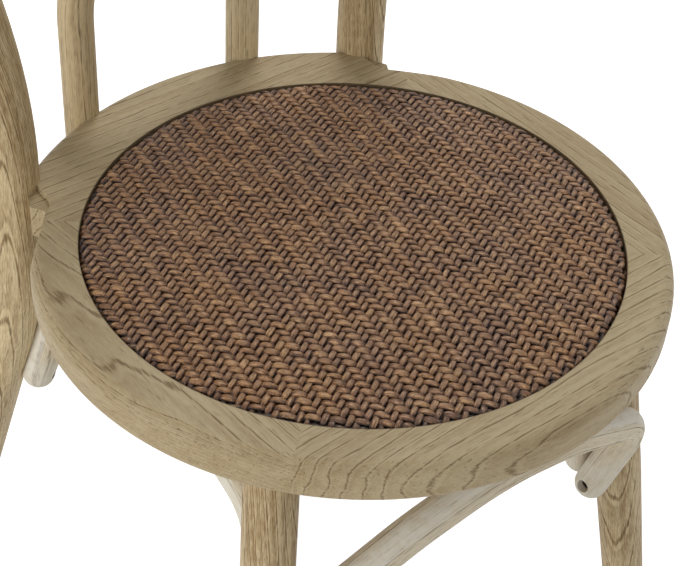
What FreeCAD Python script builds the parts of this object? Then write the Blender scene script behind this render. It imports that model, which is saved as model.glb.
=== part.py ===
import FreeCAD, Part
import math
import os

# Cross back chair: a round seat ring of four rails with a woven panel, two front legs, two bent back posts
# that run from the floor to the bow, a cross of two bent rods and four arch braces under the seat.
# The pieces are worked out from the seat: z = 0 is its top face, y = 0 its middle, the front looks to -Y and
# the chair's left side is +X. Before they are written, the chair is stood on the floor and centred.

# Overall sizes
SEAT_HEIGHT = 460.0
BACK_HEIGHT = 425.0             # top of the bow above the seat
SEAT_RADIUS = 214.5             # outside of the ring at the front and the sides
REAR_RAIL_WIDENING = 17.5       # the rear rail stands out this much further

# Seat ring
RING_THICKNESS = 29.5
RING_FACE_WIDTH = 32.0          # flat frame round the panel
RING_LEDGE_WIDTH = 28.0         # shelf under the panel
REBATE_DEPTH = 14.0
TOP_EDGE_ROUND = 9.0
BOTTOM_EDGE_ROUND = 6.0
FRONT_MITRE = 48.5              # degrees from the front, each side
REAR_MITRE = 129.0
RING_DOWEL_R = 3.5
RING_DOWEL_LENGTH = 28.0
RING_DOWEL_INSET = 20.0         # from the outside of the ring
EAR_STEP = 5.0                  # the ear's lower layer lies this much below the seat's top
EAR_INSET = 8.5                 # end of the ear, inwards from the middle of the post
NOTCH_END = (116.5, 0.2)        # degrees from the front, and distance beyond the ring's outside
NOTCH_MIDDLE = (121.1, -4.0)

# Seat panel
PANEL_GAP = 1.0
BOARD_THICKNESS = 9.0
COVER_THICKNESS = 2.3
COVER_CROWN = 7.0
COVER_EDGE_RISE = 0.6
COVER_FLAT = 4.0                # level middle of the crown
COVER_EDGE_ROUND = 5.5
SOFT_CLEARANCE = 0.2
BOARD_SCREW_ANGLES = (0.0, 80.0, 135.0, 180.0, 225.0, 280.0)
BOARD_SCREW_INSET = 13.5        # from the inner edge of the shelf
BOARD_SCREW_BITE = 7.0

# Front legs
LEG_R = 17.6
LEG_FOOT_R = 14.0
LEG_FLARE_R = 22.0
LEG_FLARE_HEIGHT = 20.0
LEG_TENON_R = 11.0
LEG_TENON_REST = 0.5            # left below the shelf that holds the board
LEG_ANGLE = 54.4                # degrees from the front
LEG_INSET = 36.8                # top of the leg, from the outside of the ring
LEG_SPLAY_X = 0.125             # outwards per mm down
LEG_SPLAY_Y = 0.147             # forwards per mm down

# Back posts and bow
POST_R = 18.5
POST_FOOT_R = 14.5
POST_ANGLE = 140.1              # degrees from the front
POST_OUTSET = 23.9              # middle of the post beyond the outside of the ring
KNEE_DROP = 98.0                # corner of the knee below the seat
KNEE_OUT = 2.8                  # and outside the post at the seat
REAR_RAKE = 0.362               # backwards per mm down
REAR_SPLAY = 0.042              # outwards per mm down
OPENING_RISE = 70.0             # corner where the back starts to open and lean
SHOULDER_FLARE = 35.5           # shoulder outside the post at the seat
SHOULDER_SETBACK = 20.0
SHOULDER_DROP = 170.0           # below the top of the bow
BACK_LEAN = 0.2
BOW_SIDE_INSET = 13.0           # from the shoulder
BOW_SIDE_DROP = 40.0            # below the middle corner of the bow
BOW_CROWN_X = 98.0
BOW_CROWN_DROP = 12.0
KNEE_BEND_R = 330.0
OPENING_BEND_R = 550.0
SHOULDER_BEND_R = 350.0
BOW_SIDE_BEND_R = 90.0
BOW_CROWN_BEND_R = 230.0
BOW_TOP_BEND_R = 500.0
BOW_JOINT_SHARE = 0.15          # joint of post and bow, from the upper end of the straight run between bends
BOW_DOWEL_R = 6.0
BOW_DOWEL_LENGTH = 60.0

# Cross of the back
CROSS_R = 12.8
CROSS_X = 72.0
CROSS_HOUSING = 6.5             # how far a rod is let into the rear rail
CROSS_TAIL = 4.0                # the rods end this much below the seat ring
CROSS_BEND_RISE = 118.0
CROSS_MEET_RISE = 193.0
CROSS_MEET_FORWARD = 3.0        # from the rods' stand on the rail
CROSS_MEET_OFFSET = 9.0         # front and rear rod from their common plane
CROSS_END_DROP = 84.0           # upper ends below the top of the bow
CROSS_BEND_R = 110.0
CROSS_MEET_BEND_R = 250.0

# Arch braces
BRACE_R = 12.5
BRACE_BITE = 1.5                # depth of the hollow that fits the foot of a brace to its leg
COPE_CLEARANCE = 0.2            # between a hollowed rod and the round one that it fits
FOOT_DROP = 217.0               # centre of the lowest noses below the seat
HAUNCH_BEND_R = 150.0
FRONT_BRACE_LEAN = -0.22        # y per mm up
FRONT_SHOULDER_OUT = 19.0       # outwards from the foot
FRONT_SHOULDER_RISE = 68.0
FRONT_SHOULDER_R = 34.0
FRONT_HAUNCH_X = 70.0
FRONT_HAUNCH_RISE = 108.0
FRONT_CROWN_RISE = 124.0
REAR_BRACE_LEAN = -0.16
REAR_SHOULDER_OUT = -3.0
REAR_SHOULDER_RISE = 107.0
REAR_HAUNCH_X = 62.0
REAR_HAUNCH_RISE = 132.0
REAR_CROWN_RISE = 137.0
FRONT_FEET_GAP = 1.9859         # between the feet of the front and the side brace on one leg
SIDE_REAR_FOOT_TURN = 231.5     # from outwards to backwards, degrees about the rear leg
SIDE_REAR_FOOT_LIFT = 17.0
SIDE_FRONT_SHOULDER_RUN = 17.0  # backwards from the front foot
SIDE_FRONT_SHOULDER_RISE = 112.0
SIDE_REAR_SHOULDER_RUN = 31.0   # forwards from the rear foot
SIDE_REAR_SHOULDER_RISE = 114.0
SIDE_BRACE_LEAN = 0.1           # inwards per mm up
SIDE_HAUNCH_RUN = 65.0          # from the middle of the arch
SIDE_HAUNCH_RISE = 135.0
SIDE_CROWN_RISE = 139.0
LONG_SHOULDER_R = 40.0

# Screws, bolts and glides
COUNTERBORE_R = 4.8
COUNTERBORE_DEPTH = 8.0
SCREW_HEAD_R = 4.3
SCREW_HEAD_H = 3.2
SCREW_R = 2.1
DRIVE_WIDTH = 1.3
DRIVE_SPAN = 5.0
DRIVE_DEPTH = 1.4
FOOT_SCREW_BITE = 8.5           # depth of the thread in the leg
FOOT_SCREW_RISE = 3.0           # above the centre of the nose
RAIL_SCREW_BITE = 21.0
MEET_SCREW_REST = 5.0           # wood left in front of the tip
TOP_SCREW_BITE = 22.0
BOLT_R = 3.0
BOLT_HEAD_R = 7.0
BOLT_HEAD_H = 4.0
BOLT_KEY = 5.0                  # across the flats
BOLT_HEAD_CLEARANCE = 0.4
BOLT_HEAD_DEPTH = 4.5           # its seat, from the outside of the post
NUT_RUN = 48.0                  # from the bolt's head to the middle of the nut
NUT_R = 5.0
NUT_LENGTH = 18.0
BOLT_TIP = 8.0                  # beyond the middle of the nut
GLIDE_R = 10.0
GLIDE_HEIGHT = 4.0
GLIDE_PIN_R = 2.0
GLIDE_PIN_LENGTH = 12.0

V = FreeCAD.Vector
UP = V(0, 0, 1)
BIG = 700.0
SIDES = (("left", 1.0), ("right", -1.0))
FLOOR_Z = -SEAT_HEIGHT
FOOT_CUT_Z = FLOOR_Z + GLIDE_HEIGHT
RING_BOTTOM = -RING_THICKNESS
PANEL_RADIUS = SEAT_RADIUS - RING_FACE_WIDTH
LEDGE_RADIUS = PANEL_RADIUS - RING_LEDGE_WIDTH
REAR_RAIL_RADIUS = SEAT_RADIUS + REAR_RAIL_WIDENING


# Shapes in common

def polar(radius, angle, z=0.0):
    """Point at a radius and an angle in degrees from the front towards the chair's left."""
    turned = math.radians(angle)
    return V(radius * math.sin(turned), -radius * math.cos(turned), z)


def mirrored(point, side):
    return V(point.x * side, point.y, point.z)


def bends(points, radii):
    """Length of run that each bend takes on either side of its corner, kept within the runs."""
    turns = [(b - a).getAngle(c - b) for a, b, c in zip(points, points[1:], points[2:])]
    reach = [0.0] + [r * math.tan(t / 2.0) for r, t in zip(radii, turns)] + [0.0]
    runs = [a.distanceToPoint(b) for a, b in zip(points, points[1:])]
    share = [min(1.0, 0.97 * run / max(reach[i] + reach[i + 1], 0.001)) for i, run in enumerate(runs)]
    return [reach[i] * min(share[i - 1], share[i]) for i in range(1, len(points) - 1)]


def path(points, radii):
    """Straight runs through the points, joined by tangent arcs at the inner points."""
    edges = []
    start = points[0]
    for before, corner, after, reach in zip(points, points[1:], points[2:], bends(points, radii)):
        along = (corner - before).normalize()
        onward = (after - corner).normalize()
        half = along.getAngle(onward) / 2.0
        radius = reach / math.tan(half)
        inward = (onward - along).normalize()
        first = corner - along * reach
        last = corner + onward * reach
        middle = corner + inward * (radius / math.cos(half) - radius)
        edges.append(Part.LineSegment(start, first).toShape())
        edges.append(Part.Arc(first, middle, last).toShape())
        start = last
    edges.append(Part.LineSegment(start, points[-1]).toShape())
    return edges


def rod(points, radii, radius, round_ends=False):
    """A round rod along a path, with half-round noses where its ends are free."""
    first = (points[1] - points[0]).normalize()
    ring = Part.Wire([Part.makeCircle(radius, points[0], first)])
    solid = Part.Wire(path(points, radii)).makePipeShell([ring], True, False)
    if round_ends:
        for end, inner in ((points[0], points[1]), (points[-1], points[-2])):
            solid = solid.fuse(Part.makeSphere(radius, end, inner - end, -90, 0, 360))
    return solid


def profile(points):
    """Closed outline in the X-Z plane; a point with a third value is the middle of an arc."""
    edges = []
    plain = [V(p[0], 0, p[1]) for p in points]
    count = len(points)
    index = 0
    while index < count:
        after = (index + 1) % count
        if len(points[after]) == 3:
            edges.append(Part.Arc(plain[index], plain[after], plain[(index + 2) % count]).toShape())
            index += 2
        else:
            edges.append(Part.LineSegment(plain[index], plain[after]).toShape())
            index += 1
    return edges


def revolved(points, start=0.0, sweep=360.0):
    """Turns a profile of radius and height about Z; the angles run from the front to the left."""
    face = Part.Face(Part.Wire(profile(points)))
    face.rotate(V(0, 0, 0), UP, start - 90.0)
    return face.revolve(V(0, 0, 0), UP, sweep)


def slab(bottom, top):
    return Part.makeBox(2 * BIG, 2 * BIG, top - bottom, V(-BIG, -BIG, bottom))


def grouped(shapes):
    return Part.makeCompound([solid for shape in shapes for solid in shape.Solids])


def without(shape, cutters):
    """The shape less the cutters, one after the other."""
    for cutter in cutters:
        shape = shape.cut(cutter)
    return shape


def turned_to(shape, point, way):
    """A shape drawn about the origin with its tip down, set at a point so that the tip looks along way."""
    shape.Placement = FreeCAD.Placement(point, FreeCAD.Rotation(V(0, 0, -1), way))
    return shape


def screw(seat, into, length):
    """Pan head with a cross recess, seated at a point, and its shank along into."""
    body = Part.makeCylinder(SCREW_HEAD_R, SCREW_HEAD_H)
    body = body.fuse(Part.makeCylinder(SCREW_R, length, V(0, 0, -length)))
    floor_z = SCREW_HEAD_H - DRIVE_DEPTH
    for x, y in ((DRIVE_SPAN, DRIVE_WIDTH), (DRIVE_WIDTH, DRIVE_SPAN)):
        body = body.cut(Part.makeBox(x, y, SCREW_HEAD_H, V(-x / 2.0, -y / 2.0, floor_z)))
    return turned_to(body, seat, into)


def screw_hole(seat, into, length, reach=24.0):
    """Counterbore from the seat out of the wood, and a hole for the shank."""
    bore = Part.makeCylinder(COUNTERBORE_R, reach)
    return turned_to(bore.fuse(Part.makeCylinder(SCREW_R, length, V(0, 0, -length))), seat, into)


# Front legs

LEG_TOP = polar(SEAT_RADIUS - LEG_INSET, LEG_ANGLE)


def front_leg_axis(side, z):
    drop = RING_BOTTOM - z
    return V(side * (LEG_TOP.x + LEG_SPLAY_X * drop), LEG_TOP.y - LEG_SPLAY_Y * drop, z)


def front_leg_body(side, extra=0.0):
    """Round leg, slimmer towards the floor and flared under the ring, cut level at both ends."""
    foot = front_leg_axis(side, FLOOR_Z - LEG_FOOT_R)
    top = front_leg_axis(side, RING_BOTTOM + LEG_FLARE_R)
    length = top.distanceToPoint(foot)
    head = front_leg_axis(side, RING_BOTTOM).distanceToPoint(foot)
    neck = head - LEG_FLARE_HEIGHT
    flare = LEG_FLARE_R - LEG_R
    body = revolved([(0, 0), (LEG_FOOT_R + extra, 0), (LEG_R + extra, neck * 0.6), (LEG_R + extra, neck),
                     (LEG_R + extra + flare * 0.3, (neck + head) / 2.0, "arc"),
                     (LEG_FLARE_R + extra, head), (LEG_FLARE_R + extra, length), (0, length)])
    body.Placement = FreeCAD.Placement(foot, FreeCAD.Rotation(UP, top - foot))
    return body.common(slab(FOOT_CUT_Z, RING_BOTTOM))


def front_leg_tenon(side):
    root = front_leg_axis(side, RING_BOTTOM - 5.0)
    reach = RING_THICKNESS - REBATE_DEPTH - LEG_TENON_REST
    tip = front_leg_axis(side, RING_BOTTOM + 2.0 * reach)
    pin = Part.makeCylinder(LEG_TENON_R, tip.distanceToPoint(root), root, tip - root)
    return pin.common(slab(RING_BOTTOM, RING_BOTTOM + reach))


# Back posts and bow

POST = polar(SEAT_RADIUS + POST_OUTSET, POST_ANGLE)
SHOULDER_RISE = BACK_HEIGHT - SHOULDER_DROP
BOW_TOP_Z = BACK_HEIGHT - POST_R + BOW_TOP_BEND_R * (
    math.hypot(1.0, BOW_CROWN_DROP / BOW_CROWN_X) - 1.0)


def bow_point(x, z):
    """A point of the bow's leaning plane."""
    return V(x, POST.y + SHOULDER_SETBACK + BACK_LEAN * (z - SHOULDER_RISE), z)


def rear_leg_axis(side, z):
    """Centre of a rear leg on its straight run below the knee."""
    drop = -KNEE_DROP - z
    return V(side * (POST.x + KNEE_OUT + REAR_SPLAY * drop), POST.y + REAR_RAKE * drop, z)


SHOULDER_X = POST.x + SHOULDER_FLARE
BACK_LINE = [rear_leg_axis(1.0, FLOOR_Z), rear_leg_axis(1.0, -KNEE_DROP), V(POST.x, POST.y, OPENING_RISE),
             bow_point(SHOULDER_X, SHOULDER_RISE), bow_point(SHOULDER_X - BOW_SIDE_INSET,
                                                             BOW_TOP_Z - BOW_SIDE_DROP),
             bow_point(BOW_CROWN_X, BOW_TOP_Z - BOW_CROWN_DROP), bow_point(0.0, BOW_TOP_Z)]
BACK_LINE = BACK_LINE + [mirrored(p, -1.0) for p in reversed(BACK_LINE[:-1])]
BACK_BENDS = [KNEE_BEND_R, OPENING_BEND_R, SHOULDER_BEND_R, BOW_SIDE_BEND_R, BOW_CROWN_BEND_R]
BACK_BENDS = BACK_BENDS + [BOW_TOP_BEND_R] + BACK_BENDS[::-1]
BACK_REACH = bends(BACK_LINE, BACK_BENDS)
KNEE_WAY = (BACK_LINE[1] - BACK_LINE[0]).normalize()
KNEE_START = BACK_LINE[1] - KNEE_WAY * (BACK_REACH[0] + 1.0)
JOINT_WAY = (BACK_LINE[3] - BACK_LINE[2]).normalize()
JOINT_RUN = BACK_LINE[2].distanceToPoint(BACK_LINE[3]) - BACK_REACH[1] - BACK_REACH[2]
JOINT = BACK_LINE[3] - JOINT_WAY * (BACK_REACH[2] + BOW_JOINT_SHARE * JOINT_RUN)


def post_body(side, extra=0.0):
    """Bent rod from the joint with the bow down to the knee, and a leg that slims towards the floor."""
    upper = [mirrored(p, side) for p in (KNEE_START, BACK_LINE[1], BACK_LINE[2], JOINT)]
    bent = rod(upper, BACK_BENDS[:2], POST_R + extra)
    start = mirrored(KNEE_START, side)
    below = rear_leg_axis(side, FLOOR_Z - POST_FOOT_R)
    leg = Part.makeCone(POST_R + extra, POST_FOOT_R + extra, start.distanceToPoint(below),
                        start, below - start)
    return bent.fuse(leg.cut(slab(FOOT_CUT_Z - BIG, FOOT_CUT_Z)))


def bow_body(extra=0.0):
    line = [JOINT] + BACK_LINE[3:-3] + [mirrored(JOINT, -1.0)]
    return rod(line, BACK_BENDS[2:-2], POST_R + extra)


def bow_dowel(side):
    way = mirrored(JOINT_WAY, side)
    start = mirrored(JOINT, side) - way * (BOW_DOWEL_LENGTH / 2.0)
    return Part.makeCylinder(BOW_DOWEL_R, BOW_DOWEL_LENGTH, start, way)


# Seat ring

def ring_rail(radius, start, end):
    """One rail of the ring between two mitres, with its shelf, rebate and rounded outer edges."""
    top = TOP_EDGE_ROUND
    low = BOTTOM_EDGE_ROUND
    nip = 1.0 - math.sqrt(0.5)
    return revolved([
        (LEDGE_RADIUS, RING_BOTTOM), (radius - low, RING_BOTTOM),
        (radius - low * nip, RING_BOTTOM + low * nip, "arc"), (radius, RING_BOTTOM + low),
        (radius, -top), (radius - top * nip, -top * nip, "arc"), (radius - top, 0),
        (PANEL_RADIUS, 0), (PANEL_RADIUS, -REBATE_DEPTH), (LEDGE_RADIUS, -REBATE_DEPTH)],
        start, end - start)


def notch(side):
    """Hollow in the rear corner of the ring for the post; the lower layer keeps a small step under it."""
    edge_x = POST.x - EAR_INSET
    start = V(edge_x - 28.0, POST.y + 23.0, 0)
    upper = ((edge_x - 9.0, POST.y + 6.0, 20.0), (edge_x, POST.y - 9.0, 14.0),
             (edge_x, POST.y - 36.0, 26.0))
    lower = ((edge_x - 4.0, POST.y + 4.0, 12.0), (edge_x + 1.5, POST.y - 4.0, 4.0),
             (POST.x + 5.0, POST.y - 29.0, 2.0), (POST.x - 1.5, POST.y - 39.0, 4.0))
    middle = polar(SEAT_RADIUS + NOTCH_MIDDLE[1], NOTCH_MIDDLE[0])
    end = polar(SEAT_RADIUS + NOTCH_END[1], NOTCH_END[0])
    layers = []
    for corners, bottom, top in ((upper, -EAR_STEP, 5.0), (lower, RING_BOTTOM - 5.0, -EAR_STEP)):
        line = [start] + [V(x, y, 0) for x, y, r in corners] + [middle, end]
        edges = path(line, [r for x, y, r in corners] + [60.0])
        far = [end, V(BIG, end.y, 0), V(BIG, start.y, 0), start]
        edges += [Part.LineSegment(a, b).toShape() for a, b in zip(far, far[1:])]
        face = Part.Face(Part.Wire(edges))
        face.translate(V(0, 0, bottom))
        layers.append(face.extrude(V(0, 0, top - bottom)))
    hollow = layers[0].fuse(layers[1])
    if side < 0:
        hollow = hollow.mirror(V(0, 0, 0), V(1, 0, 0))
    return hollow


def ring_dowels(angle):
    """The two dowels across the mitre at an angle."""
    way = polar(1.0, angle + 90.0)
    start = polar(SEAT_RADIUS - RING_DOWEL_INSET, angle) - way * (RING_DOWEL_LENGTH / 2.0)
    return [Part.makeCylinder(RING_DOWEL_R, RING_DOWEL_LENGTH, start - UP * (RING_THICKNESS * share), way)
            for share in (0.3, 0.72)]


# Seat panel

def cover_line(drop):
    """Upper line of the panel, this much under the face of the cover: its crown and its edge."""
    outer = PANEL_RADIUS - PANEL_GAP
    shoulder = outer - COVER_EDGE_ROUND
    edge_r = COVER_EDGE_ROUND - drop
    nip = edge_r * (1.0 - math.sqrt(0.5))
    crown = COVER_CROWN - drop
    edge = COVER_EDGE_RISE - drop
    quarter = crown - (crown - edge) / 4.0
    return [(0, crown), (COVER_FLAT, crown), (shoulder / 2.0, quarter, "arc"), (shoulder, edge),
            (outer - drop - nip, edge - nip, "arc"), (outer - drop, edge - edge_r)]


def cover_solid():
    """Crowned cover with a rounded edge and a skirt down the side of the board."""
    skirt = SOFT_CLEARANCE - REBATE_DEPTH
    blocks = []
    for line, bottom in ((cover_line(0.0), skirt), (cover_line(COVER_THICKNESS), skirt - 5.0)):
        blocks.append(revolved(line + [(line[-1][0], bottom), (0, bottom)]))
    return blocks[0].cut(blocks[1])


def pad_solid():
    """Thin foam between the board and the cover."""
    top = cover_line(COVER_THICKNESS + SOFT_CLEARANCE)[:4]
    bottom = BOARD_THICKNESS - REBATE_DEPTH
    return revolved(top + [(top[-1][0], bottom), (0, bottom)])


def board_screw(angle):
    """Seat, direction and length of a screw up through the shelf into the board."""
    seat = polar(LEDGE_RADIUS + BOARD_SCREW_INSET, angle, RING_BOTTOM + COUNTERBORE_DEPTH)
    return seat, UP, RING_THICKNESS - COUNTERBORE_DEPTH - REBATE_DEPTH + BOARD_SCREW_BITE


# Arch braces

def beside(axis, reach, turn, side):
    """Point at a distance from a leg's centre, turned from outwards to backwards."""
    angle = math.radians(turn)
    return axis + V(side * reach * math.cos(angle), reach * math.sin(angle), 0)


def brace(line, shoulder_r):
    radii = [shoulder_r] + [HAUNCH_BEND_R] * (len(line) - 4) + [shoulder_r]
    return rod(line, radii, BRACE_R, round_ends=True)


def cross_brace_line(foot, lean, points):
    """Line of a brace across the chair, from its left foot over the given x and rise to its right foot."""
    half = [foot] + [V(x, foot.y + lean * rise, foot.z + rise) for x, rise in points]
    return half + [mirrored(p, -1.0) for p in reversed(half[:-1])]


def side_brace_line(side):
    """Line of a side brace from its front foot to its rear one."""
    front = front_leg_axis(side, -FOOT_DROP)
    reach = LEG_R + BRACE_R - BRACE_BITE
    between = 2.0 * math.degrees(math.asin((2.0 * BRACE_R + FRONT_FEET_GAP) / (2.0 * reach)))
    front = beside(front, reach, 180.0 - between, side)
    rear = rear_leg_axis(side, SIDE_REAR_FOOT_LIFT - FOOT_DROP)
    rear = beside(rear, POST_R + BRACE_R - BRACE_BITE, SIDE_REAR_FOOT_TURN, side)
    middle = (front.y + rear.y) / 2.0
    steps = ((front.y + SIDE_FRONT_SHOULDER_RUN, SIDE_FRONT_SHOULDER_RISE),
             (middle - SIDE_HAUNCH_RUN, SIDE_HAUNCH_RISE), (middle, SIDE_CROWN_RISE),
             (middle + SIDE_HAUNCH_RUN, SIDE_HAUNCH_RISE),
             (rear.y - SIDE_REAR_SHOULDER_RUN, SIDE_REAR_SHOULDER_RISE))
    drift = (rear.x - front.x) / (rear.y - front.y)
    inside = [V(front.x + drift * (y - front.y) - side * SIDE_BRACE_LEAN * rise, y, rise - FOOT_DROP)
              for y, rise in steps]
    return [front] + inside + [rear]


def foot_screw(foot, onward, axis_at, side):
    """Seat, direction and length of the level screw through a brace's foot into the middle of its leg."""
    up = (onward - foot).normalize()
    centre = foot + up * (FOOT_SCREW_RISE / up.z)
    into = axis_at(side, centre.z) - centre
    into = V(into.x, into.y, 0).normalize()
    seat = centre - into * (BRACE_R - COUNTERBORE_DEPTH)
    return seat, into, 2.0 * BRACE_R - COUNTERBORE_DEPTH - BRACE_BITE + FOOT_SCREW_BITE


# Cross of the back

CROSS_STAND_Y = math.sqrt(REAR_RAIL_RADIUS ** 2 - CROSS_X ** 2) + CROSS_R - CROSS_HOUSING
CROSS_MEET_Y = CROSS_STAND_Y - CROSS_MEET_FORWARD
BOW_WAY = (BACK_LINE[4] - BACK_LINE[3]).normalize()
CROSS_END = BACK_LINE[3] + BOW_WAY * ((SHOULDER_DROP - CROSS_END_DROP) / BOW_WAY.z)


def cross_line(side, meet_y):
    """Line of the rod that stands on this side of the rear rail and ends at the other side of the bow."""
    return [V(side * CROSS_X, CROSS_STAND_Y, RING_BOTTOM - CROSS_TAIL),
            V(side * CROSS_X, CROSS_STAND_Y, CROSS_BEND_RISE),
            V(0, meet_y, CROSS_MEET_RISE), mirrored(CROSS_END, -side)]


def top_screw(line):
    """Seat, direction and length of the screw through the bow into the end of a rod of the cross."""
    into = (line[-2] - line[-1]).normalize()
    bow_way = mirrored(BOW_WAY, math.copysign(1.0, line[-1].x))
    out = POST_R / math.sin(into.getAngle(bow_way))
    seat = line[-1] - into * (out - COUNTERBORE_DEPTH)
    return seat, into, 2.0 * out - COUNTERBORE_DEPTH + TOP_SCREW_BITE


def rail_screw(side):
    """Seat, direction and length of the screw through the lower end of a rod into the rear rail."""
    seat = V(side * CROSS_X, CROSS_STAND_Y + CROSS_R - COUNTERBORE_DEPTH, -0.6 * RING_THICKNESS)
    return seat, V(0, -1, 0), 2.0 * CROSS_R - COUNTERBORE_DEPTH + RAIL_SCREW_BITE


# Bolts and glides

def post_bolt(side):
    """Bolt through the post and its ear, with the holes that it needs in the post and in the ear."""
    into = V(-side, 0, 0)
    seat = V(side * (POST.x + POST_R - BOLT_HEAD_DEPTH), POST.y, -RING_THICKNESS / 2.0)
    length = NUT_RUN + BOLT_TIP
    shank = Part.makeCylinder(BOLT_R, length, V(0, 0, -length))
    corners = [V(BOLT_KEY / math.sqrt(3.0) * math.cos(math.radians(60 * i)),
                 BOLT_KEY / math.sqrt(3.0) * math.sin(math.radians(60 * i)), BOLT_HEAD_H)
               for i in range(7)]
    key = Part.Face(Part.makePolygon(corners)).extrude(V(0, 0, -0.65 * BOLT_HEAD_H))
    bolt = Part.makeCylinder(BOLT_HEAD_R, BOLT_HEAD_H).cut(key).fuse(shank)
    bore = Part.makeCylinder(BOLT_HEAD_R + BOLT_HEAD_CLEARANCE, 4.0 * BOLT_HEAD_DEPTH)
    hole = bore.fuse(Part.makeCylinder(BOLT_R, length, V(0, 0, -length)))
    return turned_to(bolt, seat, into), turned_to(hole, seat, into)


def barrel_nut(side):
    """Upright round nut in the ear, and the bore for it, open to below."""
    centre = V(side * (POST.x + POST_R - BOLT_HEAD_DEPTH - NUT_RUN), POST.y, -RING_THICKNESS / 2.0)
    low = centre - UP * (NUT_LENGTH / 2.0)
    nut = Part.makeCylinder(NUT_R, NUT_LENGTH, low)
    bore = Part.makeCylinder(NUT_R, low.z + NUT_LENGTH - RING_BOTTOM + 5.0,
                             V(low.x, low.y, RING_BOTTOM - 5.0))
    return nut, bore


def glide(axis):
    """Round glide under a leg, with its pin."""
    plate = Part.makeCylinder(GLIDE_R, GLIDE_HEIGHT, V(axis.x, axis.y, FLOOR_Z))
    return plate.fuse(glide_pin(axis))


def glide_pin(axis):
    return Part.makeCylinder(GLIDE_PIN_R, GLIDE_PIN_LENGTH, V(axis.x, axis.y, FOOT_CUT_Z))


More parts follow.
